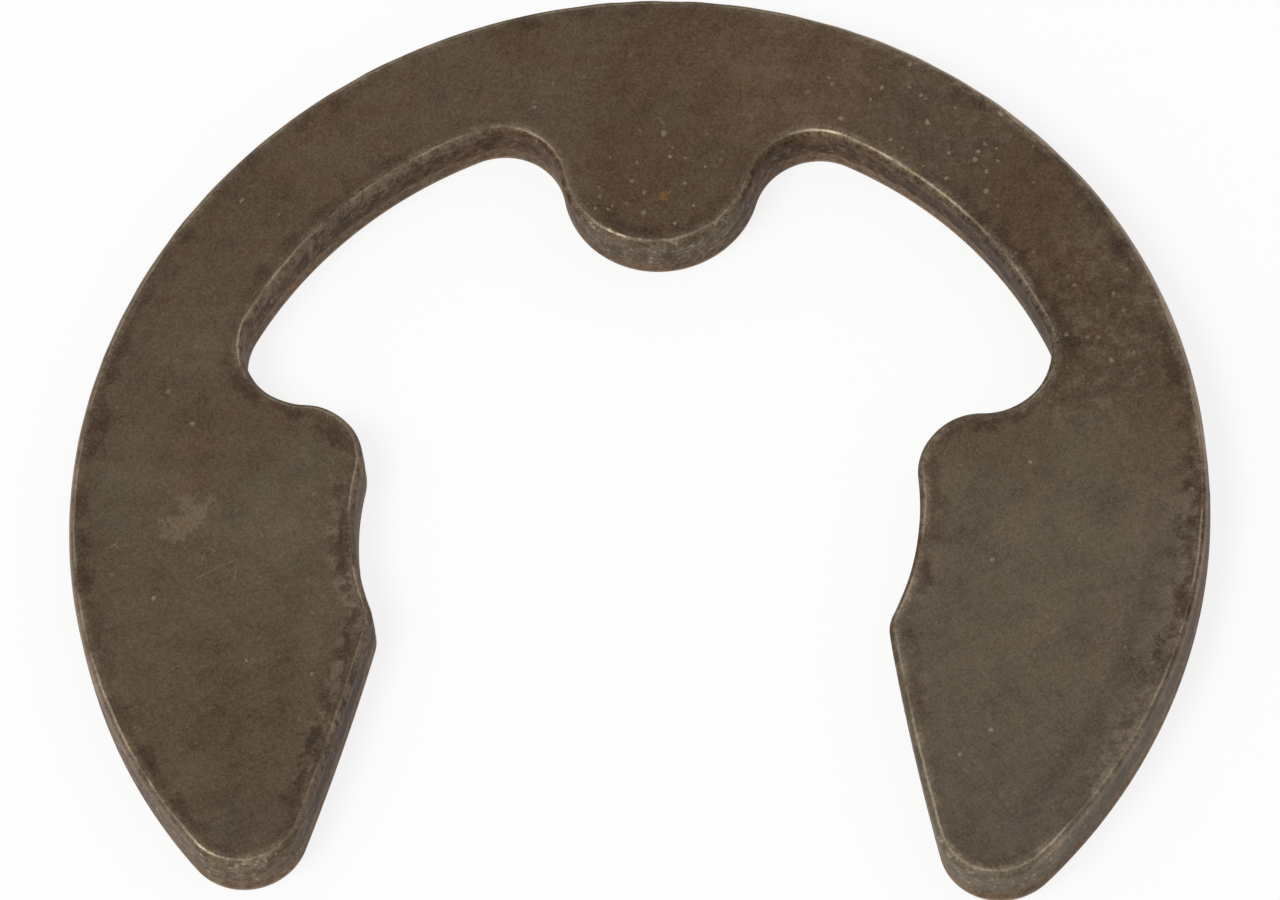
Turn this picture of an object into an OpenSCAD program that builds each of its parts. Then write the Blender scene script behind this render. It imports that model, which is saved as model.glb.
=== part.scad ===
// E-clip: a flat open ring of hardened spring steel that snaps sideways into the groove of a shaft.
// The origin is on the shaft's axis, in the plane of the lower face. The mouth opens towards -Y.

/* [Ring] */
// Outer diameter
outer_d = 23.4; // [22:0.1:25]
// How far the centre of the outer edge lies behind the shaft's axis
outer_back = 0.15; // [0:0.05:0.6]
// Thickness of the steel
thick = 1.3; // [1:0.05:1.6]
// Width of the ring at its crown, behind the lug
crown_w = 2.43; // [1.8:0.01:3]
// Width of the ring at its sides
side_w = 2.53; // [2:0.01:3]

/* [Seat] */
// Diameter of the circle on which the prongs grip the groove
seat_d = 11.6; // [11:0.05:12.2]
// How much narrower the mouth is than the seat
mouth_grip = 1.0; // [0.4:0.05:1.6]
// Radius of the corner between the mouth and the seat
mouth_r = 0.75; // [0.65:0.05:1.1]

/* [Prongs] */
// How far below the sideways direction each prong's tip lies
tip_angle = 42; // [37:0.5:47]
// Radius of the tip's outer corner
tip_r = 1.3; // [0.9:0.05:1.7]
// Radius of the nearly flat edge from the tip to the mouth
flank_r = 60; // [25:5:120]
// How far above the sideways direction the seat ends
shoulder_angle = 9; // [6:0.5:12]
// Radius of the shoulder between the seat and the recess
shoulder_r = 1.3; // [0.9:0.05:1.6]
// Radius of the recess's inside corner, next to the shoulder
corner_r = 1.35; // [1:0.05:1.7]

/* [Lug] */
// Radius of the lug's nose
lug_r = 2.05; // [1.6:0.05:2.4]
// Gap between the lug's nose and the seat's circle, before the clip is sprung on
lug_gap = 0.3; // [0:0.05:0.8]
// Radius of the recess's inside corner, next to the lug
notch_r = 1.3; // [0.9:0.05:1.7]

/* [Edges] */
// Radius of the upper edges, drawn in when the blank was punched
top_edge_r = 0.22; // [0.1:0.02:0.28]
// Radius of the lower edges
bottom_edge_r = 0.06; // [0.02:0.02:0.12]

/* [Hidden] */
$fn = 96;
steel_brown = [0.36, 0.33, 0.29];

// The rim is a band along the outline, this wide, around a flat core whose edge lies hidden inside it
rim_w = 0.5;
core_inset = (rim_w + top_edge_r) / 2;
// How far the planes that end each band reach past it, in plan and above and below
cut_margin = 0.05;
cut_height = 1;
// Extra angle by which a band is turned, before its ends are cut
spill = 3;
// Widest step between two points of the core's edge, in degrees
core_step = 12;
// Grid on which a band is placed first, before the small rest
coarse = 0.001;

outer_r = outer_d / 2;
seat_r = seat_d / 2;
recess_r = outer_r - side_w;

function polar(r, a) = r * [cos(a), sin(a)];
function bearing(v) = atan2(v.y, v.x);
// Point at distance ra from a and rb from b, on the right of the way from a to b
function meeting(a, ra, b, rb) =
    let (d = norm(b - a), u = (b - a) / d)
    let (x = (ra ^ 2 - rb ^ 2 + d ^ 2) / (2 * d))
    a + x * u + sqrt(ra ^ 2 - x ^ 2) * [u.y, -u.x];

// Centres of the arcs of the right half
outer_c = [0, outer_back];
recess_c = [0, outer_back + side_w - crown_w];
tip_c = outer_c + polar(outer_r - tip_r, -tip_angle);
mouth_angle = acos((seat_r - mouth_grip / 2 + mouth_r) / (seat_r + mouth_r));
mouth_c = polar(seat_r + mouth_r, -mouth_angle);
flank_c = meeting(tip_c, flank_r - tip_r, mouth_c, flank_r - mouth_r);
seat_c = [0, 0];
shoulder_c = polar(seat_r + shoulder_r, shoulder_angle);
corner_c = meeting(shoulder_c, shoulder_r + corner_r, recess_c, recess_r - corner_r);
lug_c = [0, seat_r + lug_gap + lug_r];
notch_c = meeting(recess_c, recess_r - notch_r, lug_c, lug_r + notch_r);

// The outline is a closed loop of arcs, clockwise from the crown, each tangent to the next.
// An arc is [centre, radius, side]: side is 1 where the steel lies inside the arc and -1 where outside.
crown = [outer_c, outer_r, 1];
nose = [lug_c, lug_r, 1];
right_side = [
    [tip_c, tip_r, 1],
    [flank_c, flank_r, 1],
    [mouth_c, mouth_r, 1],
    [seat_c, seat_r, -1],
    [shoulder_c, shoulder_r, 1],
    [corner_c, corner_r, -1],
    [recess_c, recess_r, -1],
    [notch_c, notch_r, -1],
];
left_side = [for (a = reverse(right_side)) [[-a[0].x, a[0].y], a[1], a[2]]];
arcs = concat([crown], right_side, [nose], left_side);
arc_count = len(arcs);

function reverse(list) = [for (i = [len(list) - 1:-1:0]) list[i]];
// Outward bearing at the point where arc a passes into arc b, which lies on the line of their centres
function joint(a, b) =
    a[2] != b[2] || b[1] < a[1] ? bearing(a[2] * (b[0] - a[0])) : bearing(a[2] * (a[0] - b[0]));
// Angle a, brought between 0 and 360
function full_turn(a) = a - 360 * floor(a / 360);

// Outward bearing at the start of each arc, and the angle it turns through: clockwise where the steel is inside
starts = [for (i = [0:arc_count - 1]) joint(arcs[(i + arc_count - 1) % arc_count], arcs[i])];
turns = [for (i = [0:arc_count - 1])
    let (side = arcs[i][2]) -side * full_turn(side * (starts[i] - starts[(i + 1) % arc_count]))];

// Points along arc i, moved into the steel by inset
function arc_points(i, inset) =
    let (a = arcs[i], r = a[1] - a[2] * inset, steps = ceil(abs(turns[i]) / core_step))
    [for (k = [0:steps]) a[0] + a[2] * polar(r, starts[i] + turns[i] * k / steps)];

// Section of the rim: its outer wall on the Y axis, its steel towards -X, both outer edges rounded
module rim_section() {
    wall_top = thick - top_edge_r;
    polygon([[-rim_w, 0], [-bottom_edge_r, 0], [0, bottom_edge_r], [0, wall_top],
        [-top_edge_r, thick], [-rim_w, thick]]);
    translate([-top_edge_r, wall_top]) circle(top_edge_r);
    translate([-bottom_edge_r, bottom_edge_r]) circle(bottom_edge_r);
}

// Moves to point c in a coarse and a fine step, so that no decimal of the place is lost
module at(c) {
    near = [round(c.x / coarse), round(c.y / coarse)] * coarse;
    translate(near) translate(c - near) children();
}

// The region of arc i in plan. Neighbouring regions have the corners of one side in common.
module arc_region(i) {
    polygon(concat(arc_points(i, rim_w + cut_margin), reverse(arc_points(i, -rim_w))));
}

// The stretch of rim along arc i: the section turned about the arc's centre, cut off where the arc ends
module rim(i) {
    a = arcs[i];
    low = min(starts[i], starts[i] + turns[i]) + (a[2] < 0 ? 180 : 0);
    intersection() {
        at(a[0]) rotate_extrude(angle = abs(turns[i]) + 2 * spill, start = low - spill)
            translate([a[1], 0]) if (a[2] > 0) rim_section(); else mirror([1, 0]) rim_section();
        translate([0, 0, -cut_height]) linear_extrude(thick + 2 * cut_height) arc_region(i);
    }
}

// The stretches from number first to number last, joined two halves at a time
module rims(first, last) {
    middle = floor((first + last) / 2);
    union() {
        if (first == last) rim(first);
        else {
            rims(first, middle);
            rims(middle + 1, last);
        }
    }
}

// The flat plate inside the rim
module core() {
    linear_extrude(thick) polygon([for (i = [0:arc_count - 1]) each arc_points(i, core_inset)]);
}

module e_clip() {
    color(steel_brown) {
        core();
        rims(0, arc_count - 1);
    }
}

e_clip();
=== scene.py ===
"""E-clip of oiled, dark spring steel, lying flat on a white table under soft studio light.

The clip is one closed surface: the section of its rim carried once round the outline, with a flat face
above and below. The outline is a loop of arcs, each tangent to the next. Lengths are in metres.
"""
import math
from types import SimpleNamespace

import bpy
import numpy as np
from mathutils import Matrix, Vector

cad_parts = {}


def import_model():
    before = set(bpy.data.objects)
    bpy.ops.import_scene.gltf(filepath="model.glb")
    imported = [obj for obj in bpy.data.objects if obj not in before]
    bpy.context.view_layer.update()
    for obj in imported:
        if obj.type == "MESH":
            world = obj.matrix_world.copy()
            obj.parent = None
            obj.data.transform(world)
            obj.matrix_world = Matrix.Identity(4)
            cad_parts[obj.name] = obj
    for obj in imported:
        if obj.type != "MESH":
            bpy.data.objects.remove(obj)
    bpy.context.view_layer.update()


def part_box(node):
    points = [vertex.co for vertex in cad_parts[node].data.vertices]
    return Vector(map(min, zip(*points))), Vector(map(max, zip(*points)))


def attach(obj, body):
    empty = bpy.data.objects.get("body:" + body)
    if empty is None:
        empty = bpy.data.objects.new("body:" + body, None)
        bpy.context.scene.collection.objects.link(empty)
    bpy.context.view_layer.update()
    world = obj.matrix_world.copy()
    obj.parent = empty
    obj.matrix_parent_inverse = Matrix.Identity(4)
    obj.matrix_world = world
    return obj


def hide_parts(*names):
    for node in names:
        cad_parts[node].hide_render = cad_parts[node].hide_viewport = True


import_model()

MM = 0.001

# ---------------------------------------------------------------------------------------------- the clip
# Driving sizes. The thickness and the outer circle's radius and place come from the frame.
low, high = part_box("e_clip")
THICK = high.z - low.z
OUTER_R = (high.x - low.x) / 2
OUTER_Y = high.y - OUTER_R
CROWN_W = 2.43 * MM
SIDE_W = 2.53 * MM
SEAT_R = 5.8 * MM
MOUTH_HALF = 5.3 * MM
MOUTH_R = 0.75 * MM
TIP_ANGLE = math.radians(42)
TIP_R = 1.3 * MM
FLANK_R = 60 * MM
SHOULDER_ANGLE = math.radians(9)
SHOULDER_R = 1.3 * MM
CORNER_R = 1.35 * MM
LUG_R = 2.05 * MM
LUG_GAP = 0.3 * MM
NOTCH_R = 1.3 * MM

# The rim's section
ROLL = 0.22 * MM            # width and depth of the rolled upper edge
ROLL_WANDER = 0.035 * MM    # how much the roll narrows in places
LOWER_EDGE = 0.06 * MM      # radius of the lower edge
BREAK_TOP = 0.46 * MM       # height up to which the punched wall is broken and not sheared
BREAK_WANDER = 0.12         # how much that height wanders, as a share of it
BREAK_SOFT = 0.08 * MM      # height over which the wall goes from sheared to broken
BREAK_IN = 0.012 * MM       # how far the broken band lies back
BREAK_ROUGH = 0.008 * MM    # how rough it is
FACE_IN = 0.72 * MM         # how far the section reaches in over each flat face
STEP = 0.085 * MM           # spacing of the section's places along the outline
FACE_ROWS = 8               # rows of vertices on the section's part of a flat face
FACE_CROWD = 1.6            # how strongly they crowd towards the edge
ROLL_ROWS = 13
WALL_ROWS = 16
LOWER_ROWS = 7
WANDER_SEED = 7


def polar(radius, angle):
    """The point at that distance and bearing from the axis."""
    return radius * np.array([math.cos(angle), math.sin(angle)])


def meeting(a, from_a, b, from_b):
    """The point at distance from_a from a and from_b from b, on the right of the way from a to b."""
    apart = np.hypot(*(b - a))
    ahead = (b - a) / apart
    reach = (from_a**2 - from_b**2 + apart**2) / (2 * apart)
    return a + reach * ahead + math.sqrt(from_a**2 - reach**2) * np.array([ahead[1], -ahead[0]])


def outline_arcs():
    """Centres, radii and sides of the outline's arcs, clockwise from the crown; side is 1 where the steel
    lies inside the arc and -1 where it lies outside."""
    recess_r = OUTER_R - SIDE_W
    outer = np.array([0, OUTER_Y])
    recess = np.array([0, OUTER_Y + SIDE_W - CROWN_W])
    tip = outer + polar(OUTER_R - TIP_R, -TIP_ANGLE)
    mouth = polar(SEAT_R + MOUTH_R, -math.acos((MOUTH_HALF + MOUTH_R) / (SEAT_R + MOUTH_R)))
    flank = meeting(tip, FLANK_R - TIP_R, mouth, FLANK_R - MOUTH_R)
    shoulder = polar(SEAT_R + SHOULDER_R, SHOULDER_ANGLE)
    corner = meeting(shoulder, SHOULDER_R + CORNER_R, recess, recess_r - CORNER_R)
    lug = np.array([0, SEAT_R + LUG_GAP + LUG_R])
    notch = meeting(recess, recess_r - NOTCH_R, lug, LUG_R + NOTCH_R)
    right = [
        (tip, TIP_R, 1),
        (flank, FLANK_R, 1),
        (mouth, MOUTH_R, 1),
        (np.zeros(2), SEAT_R, -1),
        (shoulder, SHOULDER_R, 1),
        (corner, CORNER_R, -1),
        (recess, recess_r, -1),
        (notch, NOTCH_R, -1),
    ]
    left = [(centre * [-1, 1], radius, side) for centre, radius, side in reversed(right)]
    loop = [(outer, OUTER_R, 1), *right, (lug, LUG_R, 1), *left]
    return (np.array(column) for column in zip(*loop))


def outline():
    """Points round the outline, the outward direction at each, and the distance walked so far. Each arc is
    centre + side * radius * (cos b, sin b), with b running evenly from its first outward bearing to its
    last. Two neighbours touch on the line of their centres, which gives the bearing there."""
    centre, radius, side = outline_arcs()
    after, radius_after = np.roll(centre, -1, 0), np.roll(radius, -1)
    forward = (side != np.roll(side, -1)) | (radius_after < radius)
    across = side[:, None] * np.where(forward[:, None], after - centre, centre - after)
    last = np.arctan2(across[:, 1], across[:, 0])
    first = np.roll(last, 1)
    turn = -side * np.mod(side * (first - last), 2 * np.pi)
    count = np.ceil(np.abs(turn) * radius / STEP).astype(int)
    arc = np.repeat(np.arange(len(count)), count)
    share = (np.arange(count.sum()) - (np.cumsum(count) - count)[arc]) / count[arc]
    bearing = first[arc] + turn[arc] * share
    outward = np.stack([np.cos(bearing), np.sin(bearing)], 1)
    point = centre[arc] + (side * radius)[arc, None] * outward
    length = np.hypot(*(np.roll(point, -1, 0) - point).T)
    return point, outward, np.cumsum(length) - length


def wander(rng, place, whole, shortest, count):
    """A smooth random value between about -1 and 1 that repeats after the whole length: a sum of count sine
    waves, each with a whole number of periods, three at least, and none shorter than shortest."""
    periods = rng.integers(3, int(whole / shortest), count)
    phase = rng.uniform(0, 2 * np.pi, count)
    waves = np.sin(2 * np.pi * place[..., None] / whole * periods + phase)
    return waves.sum(-1) / math.sqrt(count)


def wall_inset(rng, z, place, whole):
    """How far in the punched wall lies at a height: 0 where it is sheared, and BREAK_IN plus a roughness
    below BREAK_TOP, which wanders. The roughness is the product of two wanders, read the further along and
    the further back the higher a row lies, so that no two rows are alike."""
    top = BREAK_TOP * (1 + BREAK_WANDER * wander(rng, place, whole, shortest=0.5 * MM, count=40))
    broken = np.clip((top - z) / BREAK_SOFT, 0, 1)
    further_along = place + 37 * z
    further_back = place - 53 * z
    rough = wander(rng, further_along, whole, shortest=0.25 * MM, count=60)
    rough = rough * wander(rng, further_back, whole, shortest=0.4 * MM, count=40)
    return broken * (BREAK_IN + BREAK_ROUGH * rough)


def clip_mesh():
    """Vertices, in rows of the section by places along the outline, and how far in from the outline each
    lies. Upper face: in from FACE_IN to the roll's width. Roll: in = roll * (1 - sin a) and z = thick - roll
    * (1 - cos a), with a from 0 to a quarter turn. Wall: straight down, its lower part set back and rough.
    Lower edge: the same round, smaller, from a quarter to half a turn. Lower face: back to FACE_IN."""
    point, outward, place = outline()
    whole = place[-1] + STEP
    rng = np.random.default_rng(WANDER_SEED)
    narrow = wander(rng, place, whole, shortest=0.8 * MM, count=40)
    roll = ROLL - ROLL_WANDER * (0.5 + 0.5 * np.clip(narrow, -1, 1))
    foot = BREAK_IN + LOWER_EDGE
    inward = np.linspace(1, 0, FACE_ROWS + 1)[:-1, None] ** FACE_CROWD
    over = np.linspace(0, np.pi / 2, ROLL_ROWS)[:, None]
    down = np.linspace(0, 1, WALL_ROWS + 2)[1:-1, None]
    under = np.linspace(np.pi / 2, np.pi, LOWER_ROWS)[:, None]
    wall_z = (THICK - roll) * (1 - down) + LOWER_EDGE * down
    along = np.ones_like(place)
    inset = np.vstack([
        roll + inward * (FACE_IN - roll),
        roll * (1 - np.sin(over)),
        wall_inset(rng, wall_z, place, whole),
        (BREAK_IN + LOWER_EDGE * (1 - np.sin(under))) * along,
        (foot + inward[::-1] * (FACE_IN - foot)) * along])
    z = low.z + np.vstack([
        np.full((FACE_ROWS, len(place)), THICK),
        THICK - roll * (1 - np.cos(over)),
        wall_z,
        LOWER_EDGE * (1 + np.cos(under)) * along,
        np.zeros((FACE_ROWS, len(place)))])
    inset = np.clip(inset, 0, None)
    xy = point - inset[..., None] * outward
    return np.dstack([xy, z]), inset


def closed_band(name, verts, inset):
    """A mesh from rows of vertices that each close on themselves, with the first and last row filled flat.
    Quads run from each row to the next, and the outline is clockwise, so their order faces outwards. The
    attribute "edge" keeps how far in from the outline each vertex lies, in mm."""
    rows, places = inset.shape
    number = np.arange(rows * places).reshape(rows, places)
    after = np.roll(number, -1, 1)
    quads = np.stack([number[:-1], after[:-1], after[1:], number[1:]], -1).reshape(-1, 4)
    faces = [*quads.tolist(), number[0, ::-1].tolist(), number[-1].tolist()]
    mesh = bpy.data.meshes.new(name)
    mesh.from_pydata(verts.reshape(-1, 3).tolist(), [], faces)
    mesh.polygons.foreach_set("use_smooth", np.ones(len(mesh.polygons), bool))
    edge = mesh.attributes.new("edge", "FLOAT", "POINT")
    edge.data.foreach_set("value", (inset / MM).ravel().astype(np.float32))
    mesh.update()
    piece = bpy.data.objects.new(name, mesh)
    bpy.context.scene.collection.objects.link(piece)
    return piece


# ----------------------------------------------------------------------------------------------- materials
class Link:
    """An output socket of a node tree. Arithmetic on it adds the Math nodes."""

    def __init__(self, tree, socket=None):
        self.tree = tree
        self.socket = socket

    def node(self, kind, settings=None, inputs=None, output=0):
        """Adds any other node: settings first, then its inputs by name or number, as values or links."""
        made = self.tree.nodes.new(kind)
        for name, value in (settings or {}).items():
            setattr(made, name, value)
        for name, value in (inputs or {}).items():
            if isinstance(value, Link):
                self.tree.links.new(value.socket, made.inputs[name])
            else:
                made.inputs[name].default_value = value
        return Link(self.tree, made.outputs[output] if made.outputs else None)

    def math(self, operation, *values):
        return self.node("ShaderNodeMath", {"operation": operation}, dict(enumerate(values)))

    def __add__(self, other):
        return self.math("ADD", self, other)

    __radd__ = __add__

    def __sub__(self, other):
        return self.math("SUBTRACT", self, other)

    def __rsub__(self, other):
        return self.math("SUBTRACT", other, self)

    def __mul__(self, other):
        return self.math("MULTIPLY", self, other)

    __rmul__ = __mul__

    def __truediv__(self, other):
        return self.math("DIVIDE", self, other)

    def __rtruediv__(self, other):
        return self.math("DIVIDE", other, self)


def shade(red, green, blue):
    """A colour as a screen names it, from 0 to 255, made linear."""
    encoded = np.array([red, green, blue]) / 255
    linear = np.where(encoded <= 0.04045, encoded / 12.92, ((encoded + 0.055) / 1.055) ** 2.4)
    return (*linear.tolist(), 1.0)


def step(value, start, end):
    """0 at start and 1 at end, with a soft change between them; start may be the larger."""
    inputs = {"Value": value, "From Min": min(start, end), "From Max": max(start, end)}
    rising = value.node("ShaderNodeMapRange", {"interpolation_type": "SMOOTHSTEP"}, inputs)
    return rising if start < end else 1 - rising


def blend(amount, first, second):
    """The first colour turned into the second by an amount."""
    return amount.node("ShaderNodeMix", {"data_type": "RGBA"}, {0: amount, 6: first, 7: second}, 2)


def overlaid(coat, *layers):
    """A colour with others laid over it in turn, each given as how much of it there is and its colour."""
    for amount, colour in layers:
        coat = blend(amount, coat, colour)
    return coat


def brighten(colour, amount):
    """A colour times a value."""
    return colour.node("ShaderNodeVectorMath", {"operation": "SCALE"}, {0: colour, "Scale": amount})


def lift(colour, amount):
    """A colour with the same value added to its red, green and blue."""
    return colour.node("ShaderNodeVectorMath", {"operation": "ADD"}, {0: colour, 1: amount})


def axis(at, name):
    """One coordinate of a place, in mm."""
    return at.node("ShaderNodeSeparateXYZ", {}, {0: at}, name) / MM


def away_from(at, place):
    """How far it is to a place, in mm."""
    return at.node("ShaderNodeVectorMath", {"operation": "DISTANCE"}, {0: at, 1: place}, "Value") / MM


def noise(at, per_mm, detail=2.0, rough=0.5):
    """Soft noise around 0.5, with so many lumps to a millimetre."""
    inputs = {"Vector": at, "Scale": per_mm / MM, "Detail": detail, "Roughness": rough}
    return at.node("ShaderNodeTexNoise", {}, inputs)


def brushed(at, angle):
    """Fine parallel scratches around 0.5: noise drawn out 14 times along a direction on the face, which is
    in degrees."""
    drawn = {"Vector": at, "Rotation": (0, 0, math.radians(angle)), "Scale": (14, 1, 1)}
    return noise(at.node("ShaderNodeMapping", {"vector_type": "TEXTURE"}, drawn), 9, 2, 0.7)


def dots(at, per_mm, radius, share, ragged):
    """1 in the middle of dots of that radius in mm and 0 outside: one dot to a cell of space, in a share of
    the cells. A ragged value makes them uneven."""
    inputs = {"Vector": at, "Scale": per_mm / MM}
    away = at.node("ShaderNodeTexVoronoi", {}, inputs, "Distance") / per_mm
    lot = at.node("ShaderNodeTexVoronoi", {}, inputs, "Color")
    lot = lot.node("ShaderNodeSeparateColor", {}, {0: lot}, "Red")
    return step(away + ragged, radius, 0.4 * radius) * step(lot, share, share - 0.01)


def around(at, x, y, radius, ragged=0.0):
    """1 about a place on the upper face, falling to 0 at that radius, in mm. A ragged value moves the
    border."""
    place = (x * MM, y * MM, high.z)
    return step(away_from(at, place) + ragged, radius, 0.55 * radius)


def scratch(at, x, y, angle, length):
    """1 on a slightly wavy, hair-thin line through a place on the upper face, fading to its ends, in degrees
    and mm. The steps work on squared distances along and across it."""
    place = {"Vector": at, "Location": (x * MM, y * MM, high.z), "Rotation": (0, 0, math.radians(angle))}
    local = at.node("ShaderNodeMapping", {"vector_type": "TEXTURE"}, place)
    along = axis(local, "X")
    across = axis(local, "Y") + 0.05 * (noise(at, 1.2) - 0.5)
    border = 0.0005
    middle = 0.0001
    return step(along * along, (length / 2) ** 2, 0) * step(across * across, border, middle)


def empty_material(name):
    """A material with no nodes yet, and a Link that the first nodes are made from."""
    made = bpy.data.materials.new(name)
    made.use_nodes = True
    made.node_tree.nodes.clear()
    return made, Link(made.node_tree)


def surface_maps(start):
    """What the steel's colours are laid out by. In mm: the place, how far in from the outline it lies, and
    how far from the outer circle's centre. Then noises around 0.5, from broad clouds to fine grain."""
    at = start.node("ShaderNodeTexCoord", {}, {}, "Object")
    return SimpleNamespace(
        at=at,
        x=axis(at, "X"),
        y=axis(at, "Y"),
        z=axis(at, "Z"),
        edge=start.node("ShaderNodeAttribute", {"attribute_name": "edge"}, {}, "Fac"),
        reach=away_from(at, (0, OUTER_Y, high.z)),
        clouds=noise(at, 0.35, 3, 0.6),
        mottle=noise(at, 1.6, 4, 0.6),
        flecks=noise(at, 4.2, 3, 0.6),
        speckle=noise(at, 7, 3, 0.8),
        grain=noise(at, 22, 1, 0.8))


def plain_coat(on):
    """Browner on the ring, greener on the prongs, and paler on the right one with a grey tip. The left tip
    and the left side are darker, clouds lie over all, and the ring has two dark patches and a light one."""
    prongs = step(on.y, 7, -5)
    right_prong = step(on.x, 3, 7) * step(on.y, 2.5, -0.5)
    right_tip = step(on.x, 3, 5) * step(on.y, -3.5, -7)
    right_mouth = 0.7 * around(on.at, 5.3, -2.6, 1.6)
    left_tip = 0.75 * around(on.at, -7.4, -8.1, 2.4)
    left_side = 0.55 * step(on.x, -9.8, -11)
    cloudy = 0.8 * step(on.clouds, 0.35, 0.65)
    ring_right = 0.55 * around(on.at, 5.8, 9.3, 3.2)
    ring_left = 0.35 * around(on.at, -9.6, 4.6, 3.6)
    crown = 0.5 * around(on.at, 2.4, 10.6, 2.8)
    return overlaid(
        shade(86, 66, 48),
        (prongs, shade(88, 72, 54)),
        (right_prong, shade(97, 84, 69)),
        (right_tip, shade(86, 77, 67)),
        (right_mouth, shade(86, 79, 71)),
        (left_tip, shade(74, 60, 47)),
        (left_side, shade(76, 61, 46)),
        (cloudy, shade(77, 68, 54)),
        (ring_right, shade(73, 57, 44)),
        (ring_left, shade(78, 64, 51)),
        (crown, shade(94, 73, 55)))


def stained(on, coat):
    """Dark patches, mostly on the ring, and light and dark flecks crowded on its right side."""
    crowd = 0.1 * around(on.at, 9.4, 4.0, 2.0) + 0.06 * around(on.at, 1.0, 10.0, 4.5)
    patch = step(on.mottle + crowd, 0.54, 0.64) * (0.2 + 0.35 * step(on.y, 0.5, 3.5))
    freckled = around(on.at, 9.4, 4.4, 3.0) + 0.6 * around(on.at, 5.6, 9.4, 3.0)
    light = 0.32 * freckled * step(on.flecks, 0.54, 0.62)
    dark = 0.45 * freckled * step(on.flecks, 0.47, 0.38)
    return overlaid(coat, (patch, shade(67, 50, 37)), (light, shade(108, 95, 80)), (dark, shade(60, 46, 35)))


def banded(on, coat):
    """A slightly darker band inside the right prong's outer edge, darkest at its ragged inner border."""
    brim = on.reach + 0.9 * (on.mottle - 0.5)
    side = step(on.x, 4, 7) * step(on.y, 1.5, -1) * step(on.y, -7.8, -6.4)
    band = 0.27 * side * step(brim, 10.3, 10.7)
    border = 0.3 * side * step(brim, 10.35, 10.6) * step(brim, 10.95, 10.75)
    return overlaid(coat, (band, shade(84, 74, 63)), (border, shade(66, 54, 46)))


def haloed(on, coat):
    """A redder, darker halo beside the edges, with a ragged inner border. It is deepest on the left, and
    faint on the crown and low on the right prong."""
    halo = step(on.edge + 1.3 * (on.mottle - 0.5) + 0.6 * (on.flecks - 0.5), 0.54, 0.26)
    halo = halo * step(on.edge, 0.71, 0.58)
    deep = 0.15 + 0.7 * step(on.clouds, 0.6, 0.4) + 0.4 * around(on.at, 6.4, 0.3, 2.6)
    deep = deep + 0.6 * around(on.at, -5.0, -3.0, 6.5) + 0.5 * around(on.at, -11.6, 0.0, 5.0)
    deep = deep + 0.25 * around(on.at, -7.0, 4.0, 5.0) + 0.2 * around(on.at, 11.6, -1.0, 3.5)
    deep = deep - 0.5 * around(on.at, 2.6, 11.4, 4.0) - 0.3 * around(on.at, 9.6, -5.6, 3.4)
    return blend(halo * deep, coat, shade(68, 51, 39))


def dusted(on, coat):
    """Light dust: soft dots, most of them on the right of the ring and on the lug, and a few everywhere."""
    dusty = 0.08 + 0.4 * around(on.at, 5.8, 9.2, 3.4) + 0.5 * around(on.at, 0.0, 7.0, 2.2)
    dusty = dusty + 0.25 * around(on.at, 9.2, 5.2, 3.0)
    uneven = 0.22 * (on.flecks - 0.5)
    large = dusty * dots(on.at, per_mm=2.2, radius=0.062, share=0.6, ragged=uneven)
    small = dusty * dots(on.at, per_mm=4.0, radius=0.05, share=0.55, ragged=uneven)
    sparse = 0.5 * dots(on.at, per_mm=1.5, radius=0.06, share=0.4, ragged=uneven)
    return overlaid(
        coat,
        (large, shade(158, 143, 123)),
        (small, shade(142, 128, 108)),
        (sparse, shade(148, 136, 114)))


def worn(on, coat):
    """Worn strips just in from the edge, on the outside of the right prong and inside the left one."""
    strip = step(on.edge, 0.75, 0.4) * step(on.edge, 0.15, 0.25)
    strip = strip * (around(on.at, 10.0, -2.5, 5.0) + 1.1 * around(on.at, -5.0, -3.0, 4.6))
    light = 0.35 * strip * step(on.flecks, 0.48, 0.58)
    dark = 0.45 * strip * step(on.flecks, 0.48, 0.40)
    return overlaid(coat, (light, shade(114, 102, 90)), (dark, shade(62, 50, 42)))


# Marks of handling on the upper face, in mm. Spots have a place and a radius, and hair lines have a place,
# an angle in degrees and a length.
SMEAR = ((-9.44, -0.54, 0.38), (-9.28, -0.33, 0.3), (-9.16, -0.07, 0.36), (-8.88, 0.0, 0.26))
CREASES = ((-9.47, -0.19, 0.15), (-8.97, 0.13, 0.12))
SCRATCHES = (
    (-8.69, -1.49, 32, 0.85),
    (-8.66, -1.01, -35, 0.34),
    (-8.17, -1.53, 88, 0.45),
    (-8.85, -1.17, 78, 0.4),
    (-8.23, -1.26, 20, 0.3),
    (-10.74, -0.95, 35, 0.45),
    (-10.62, -0.98, -40, 0.35))
LINT = ((0.04, 8.97, -55, 0.34), (-0.06, 9.02, 25, 0.2))


def handled(on, coat):
    """Marks of handling: a smear with two dark creases and hair scratches on the left prong, a curl of lint
    on the crown and a spot of rust on the lug."""
    uneven = 0.9 * (on.flecks - 0.5)
    smear = sum(around(on.at, *spot, uneven) for spot in SMEAR)
    creases = sum(around(on.at, *spot, uneven) for spot in CREASES)
    hairs = sum(scratch(on.at, *line) for line in SCRATCHES + LINT)
    rust = around(on.at, 0.2, 7.25, 0.13, 0.5 * (on.speckle - 0.5))
    return overlaid(
        coat,
        (0.42 * step(smear, 0.2, 0.45), shade(113, 97, 80)),
        (0.5 * creases, shade(60, 48, 38)),
        (0.35 * hairs, shade(120, 108, 92)),
        (0.8 * rust, shade(112, 82, 38)))


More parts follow.
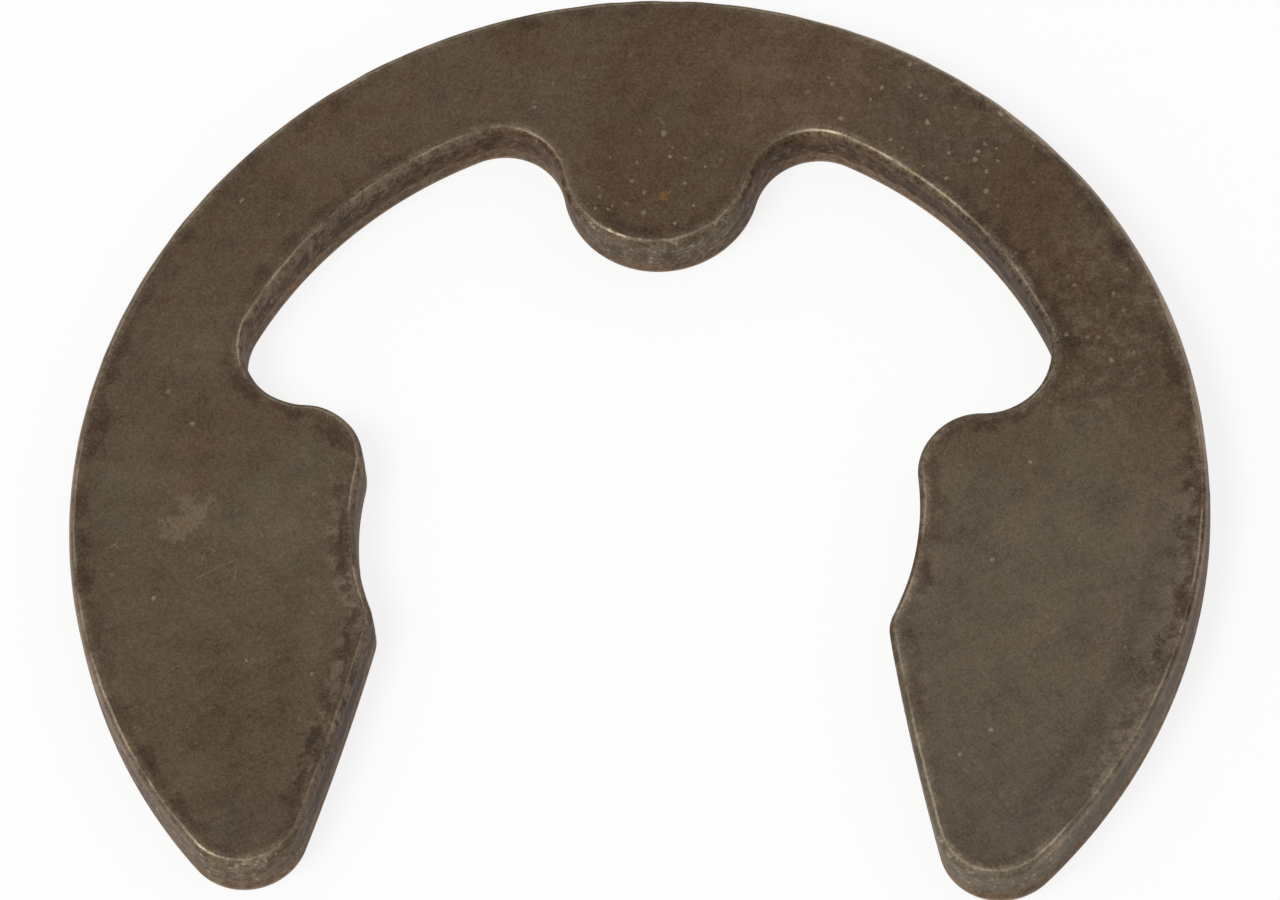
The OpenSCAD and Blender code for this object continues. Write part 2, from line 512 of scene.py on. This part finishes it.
def sheared_wall(on):
    """The upper part of the punched wall, in two browns: greyer on the right prong, and worn pale at the
    prongs' ends and under the lug. On the left outer wall the same pale is painted light. Painted shade
    darkens it on the ring's right and inside the left prong. Pale flakes are scattered over it, and a band
    of painted light lies close under the roll in places."""
    lighter = step(on.flecks + 0.4 * (on.speckle - 0.5), 0.38, 0.62)
    grey = 0.6 * step(on.x, 3, 6) * step(on.y, -1, -5)
    # painted light: the pale on the left outer wall (x beyond -8.5) stands in for light from the table; at
    # the prongs' ends and under the lug it is wear
    scuffed_and_lit = 0.5 * step(on.y, -6, -7.8) + 0.55 * around(on.at, 0.2, 6.2, 2.5) + 0.5 * step(on.x, -8.5, -11)
    scuffs_and_light = scuffed_and_lit * (0.65 + 0.5 * step(on.flecks, 0.4, 0.6))
    flakes = (0.6 * scuffed_and_lit + 0.22) * step(on.speckle, 0.55, 0.62) * step(on.mottle, 0.44, 0.52)
    wall = overlaid(
        shade(60, 41, 27),
        (lighter, shade(91, 68, 49)),
        (grey, shade(94, 88, 78)),
        (scuffs_and_light, shade(120, 107, 90)),
        (flakes, shade(168, 162, 145)))
    # painted shade: darker where the lamps light the wall strongly, on the ring's right and inside the left
    # prong
    dark = step(on.x, 3, 6) * step(on.y, 2, 4) + around(on.at, -5.8, -5.0, 3.8)
    wall = brighten(wall, 1 - 0.33 * dark)
    # painted light: a lighter band just under the roll, where the wall shades dark, broken up in patches
    lit_band = (0.12 + 0.3 * step(on.x, 3, 4)) * step(on.y, 0, 1)
    lit_band = lit_band + 0.7 * step(on.x, -3, -4) * step(on.y, -7.8, -6.8)
    roll_foot = (THICK - ROLL) / MM
    lit_band = lit_band * step(on.z, roll_foot - 0.1, roll_foot + 0.06)
    patchiness = 0.4 + 0.5 * step(on.flecks, 0.42, 0.58) + 0.7 * step(on.speckle, 0.42, 0.6)
    return blend(lit_band * patchiness, wall, shade(108, 93, 79))


def punched_wall(on):
    """Sheared above and broken below, where it is lighter, with painted light from the table along the lower
    edge.
    """
    torn_and_lit_below = overlaid(
        shade(90, 69, 52),
        (step(on.speckle, 0.38, 0.62), shade(118, 98, 78)),
        # painted light: the foot of the wall is lightened, standing in for light from the white table
        (0.7 * step(on.z, 0.16, 0.06), shade(158, 138, 120)))
    top = BREAK_TOP / MM
    broken = step(on.z + 0.35 * (on.mottle - 0.5), top + 0.03, top - 0.01)
    return blend(broken, sheared_wall(on), torn_and_lit_below)


def wavy_edge(on):
    """How far in from the outline, in mm, with a slow wander."""
    return on.edge + 0.05 * (on.mottle - 0.5)


def rubbed_and_glint(on):
    """About 1 on a thin broken line on the roll of the upper edge: the coat is worn off there, and the line
    is also a painted highlight standing in for the roll's glint. It is stronger at the prongs' ends and
    fainter in two places."""
    centre = wavy_edge(on)
    line = step(centre, 0.08, 0.105) * step(centre, 0.15, 0.125) * step(on.z, 0.8, 1)
    patchy = (0.25 + 0.75 * step(noise(on.at, 0.7), 0.38, 0.6)) * (0.6 + 0.4 * step(on.speckle, 0.35, 0.55))
    # painted highlight: the stronger and fainter stretches of the line follow where the glint shows more and
    # less
    more = 0.6 * around(on.at, -9.6, -6.0, 3.0) + 0.4 * around(on.at, 7.0, -7.0, 2.6)
    less = 0.5 * around(on.at, -2.9, 8.8, 1.8) + 0.5 * around(on.at, -6.6, -7.2, 1.8)
    return line * patchy * (1 + more - less)


def pale_edges(on, coat):
    """Painted light on the roll beside the line of worn coat, in patches where the roll shades dark, and a
    painted highlight along the outermost edge of the ring.
    """
    centre = wavy_edge(on)
    # painted light: the roll beside the line is lightened in patches, more on the right, where it shades
    # dark
    pale = step(centre, 0.3, 0.16) * step(centre, 0.02, 0.08) * step(noise(on.at, 1.1, 4, 0.7), 0.36, 0.6)
    pale = pale * (0.15 + 0.35 * step(on.speckle, 0.4, 0.6)) * (1 + 0.7 * step(on.x, 3, 5))
    # painted highlight: the ring's outermost edge is lightened like a grazing glint, most on its upper
    # right, where the lamps leave it dark
    outermost = OUTER_R / MM
    upper_right = step(on.x, 0, 4) * step(on.y, 0, 3)
    rim_highlight = step(on.reach + 0.04 * upper_right, outermost - 0.07, outermost - 0.02) * step(on.z, 1.05, 1.15)
    rim_highlight = rim_highlight * (0.5 + 0.4 * upper_right - 0.2 * step(on.y, -1, -4))
    return overlaid(coat, (pale, shade(116, 103, 86)), (rim_highlight, shade(168, 148, 133)))


def grained(on, coat):
    """Lighter and darker by broad clouds and fine grain, and on the prongs by brush marks in two
    directions."""
    prongs = step(on.y, 2.5, 0.5)
    fine = 0.2 * (on.speckle - 0.5) + (0.85 - 0.15 * prongs) * (on.grain - 0.5)
    fine = fine + 0.35 * prongs * (brushed(on.at, 28) - 0.5) + 0.25 * prongs * (brushed(on.at, -52) - 0.5)
    broad = 0.8 * (on.mottle - 0.5) * (1 - 0.2 * prongs) + 1.2 * (on.clouds - 0.5)
    broad = broad + 0.4 * (noise(on.at, 0.8) - 0.5)
    return brighten(coat, 1 + fine + broad)


def steel_material():
    """Dark oiled phosphate coat on spring steel. Going out over the face: plain coat with cloudy patches, a
    redder halo with a ragged border, then a thin line on the roll where the coat is worn off, lightened as a
    painted highlight, and the wall. An even grey over the face is painted sheen, and grain shows on it too."""
    made, start = empty_material("oiled_phosphated_steel")
    on = surface_maps(start)
    coat = plain_coat(on)
    for layer in (stained, banded, haloed, dusted, worn, handled):
        coat = layer(on, coat)
    face = step(on.edge, 0.07, 0.12)
    bright = rubbed_and_glint(on)
    coat = pale_edges(on, blend(1 - face, coat, punched_wall(on)))
    # painted highlight and worn coat: the line on the roll is lightened in colour as well as made shinier
    coat = grained(on, blend(0.45 * bright, coat, shade(156, 145, 124)))
    # painted sheen: an even grey is added over the face in place of its grey reflection; the rest is grain
    coat = lift(coat, 0.0087 * face + 0.05 * (on.grain - 0.5))
    height = 0.001 * MM * on.speckle + 0.003 * MM * on.mottle
    shader = start.node("ShaderNodeBsdfPrincipled", {}, {
        "Base Color": coat,
        "Metallic": 0.14 + 0.14 * step(on.edge, 0.02, 0.12) + 0.3 * bright,
        "Roughness": 0.58 - 0.2 * bright + 0.12 * (on.mottle - 0.5),
        "Specular IOR Level": 0.2,
        "Specular Tint": shade(190, 165, 135),
        "Normal": start.node("ShaderNodeBump", {}, {"Strength": 1.0, "Distance": 1.0, "Height": height})})
    start.node("ShaderNodeOutputMaterial", {}, {"Surface": shader})
    return made


def seen_or_mirrored(start):
    """1 for the rays of the camera and those that a shiny or clear surface sends on, and 0 for light."""
    camera_ray = start.node("ShaderNodeLightPath", {}, {}, "Is Camera Ray")
    glossy_ray = start.node("ShaderNodeLightPath", {}, {}, "Is Glossy Ray")
    clear_ray = start.node("ShaderNodeLightPath", {}, {}, "Is Transmission Ray")
    return camera_ray + glossy_ray + clear_ray


def table_material():
    """White table. Where it is seen, a share of plain white is mixed in, so that only the soft shadow beside
    the clip is left of the shading."""
    made, start = empty_material("white_table")
    matt = start.node("ShaderNodeBsdfDiffuse", {}, {"Color": shade(250, 250, 250)})
    white = start.node("ShaderNodeEmission", {}, {"Color": shade(255, 255, 255), "Strength": 1.0})
    shown = start.node("ShaderNodeMixShader", {}, {0: seen_or_mirrored(start) * 0.82, 1: matt, 2: white})
    start.node("ShaderNodeOutputMaterial", {}, {"Surface": shown})
    return made


# --------------------------------------------------------------------------------------- stage and camera
def table():
    """A flat white table under the clip: a square grid of x and y, at the height of the lower face."""
    half = 0.6
    count = 9
    line = np.linspace(-half, half, count)
    x, y = np.meshgrid(line, line)
    verts = np.stack([x.ravel(), y.ravel(), np.full(x.size, low.z)], 1)
    number = np.arange(count * count).reshape(count, count)
    quads = np.stack([number[:-1, :-1], number[:-1, 1:], number[1:, 1:], number[1:, :-1]], -1).reshape(-1, 4)
    mesh = bpy.data.meshes.new("table")
    mesh.from_pydata(verts.tolist(), [], quads.tolist())
    mesh.materials.append(table_material())
    piece = bpy.data.objects.new("table", mesh)
    bpy.context.scene.collection.objects.link(piece)


def lamp(name, azimuth, elevation, distance, size, watts):
    """A square soft lamp that looks at the clip. Azimuth 0 is before the prongs and 90 is on the right."""
    data = bpy.data.lights.new(name, "AREA")
    data.size = size
    data.energy = watts
    made = bpy.data.objects.new(name, data)
    a, e = math.radians(azimuth), math.radians(elevation)
    away = Vector((math.sin(a) * math.cos(e), -math.cos(a) * math.cos(e), math.sin(e)))
    made.location = away * distance
    made.rotation_euler = away.to_track_quat("Z", "Y").to_euler()
    bpy.context.scene.collection.objects.link(made)


def world(strength):
    """Even pale light from all sides; plain white where the camera looks past the table."""
    made = bpy.data.worlds.new("studio")
    made.use_nodes = True
    tree = made.node_tree
    tree.nodes.clear()
    start = Link(tree)
    light = start.node("ShaderNodeBackground", {}, {"Color": shade(255, 255, 255), "Strength": strength})
    white = start.node("ShaderNodeBackground", {}, {"Color": shade(255, 255, 255), "Strength": 1.0})
    seen = start.node("ShaderNodeMixShader", {}, {0: seen_or_mirrored(start), 1: light, 2: white})
    start.node("ShaderNodeOutputWorld", {}, {"Surface": seen})
    bpy.context.scene.world = made


def camera():
    """The view from above the prongs: the clip tilts back, leans and turns a little in front of a long lens.
    The camera's place is given to its own right, up and back from the seat's axis at the upper face."""
    tilt = Matrix.Rotation(math.radians(-26.37), 3, "X")
    lean = Matrix.Rotation(math.radians(-4.49), 3, "Y")
    turn = Matrix.Rotation(math.radians(-3.01), 3, "Z")
    view = tilt @ lean @ turn
    offset = Vector((0.0724 * MM, 1.2493 * MM, 414.8 * MM))
    data = bpy.data.cameras.new("camera")
    data.sensor_width = 36
    data.lens = 570.2
    data.clip_start = 0.01
    data.clip_end = 10
    made = bpy.data.objects.new("camera", data)
    place = view.transposed() @ offset + Vector((0, 0, high.z))
    made.matrix_world = Matrix.Translation(place) @ view.transposed().to_4x4()
    bpy.context.scene.collection.objects.link(made)
    bpy.context.scene.camera = made


clip = closed_band("clip", *clip_mesh())
clip.data.materials.append(steel_material())
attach(clip, "root")
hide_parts("e_clip")

table()
lamp("key", azimuth=-50, elevation=60, distance=0.35, size=0.16, watts=0.68)
lamp("fill", azimuth=120, elevation=50, distance=0.4, size=0.3, watts=0.12)
world(strength=0.46)
camera()
bpy.context.scene.view_settings.view_transform = "Standard"
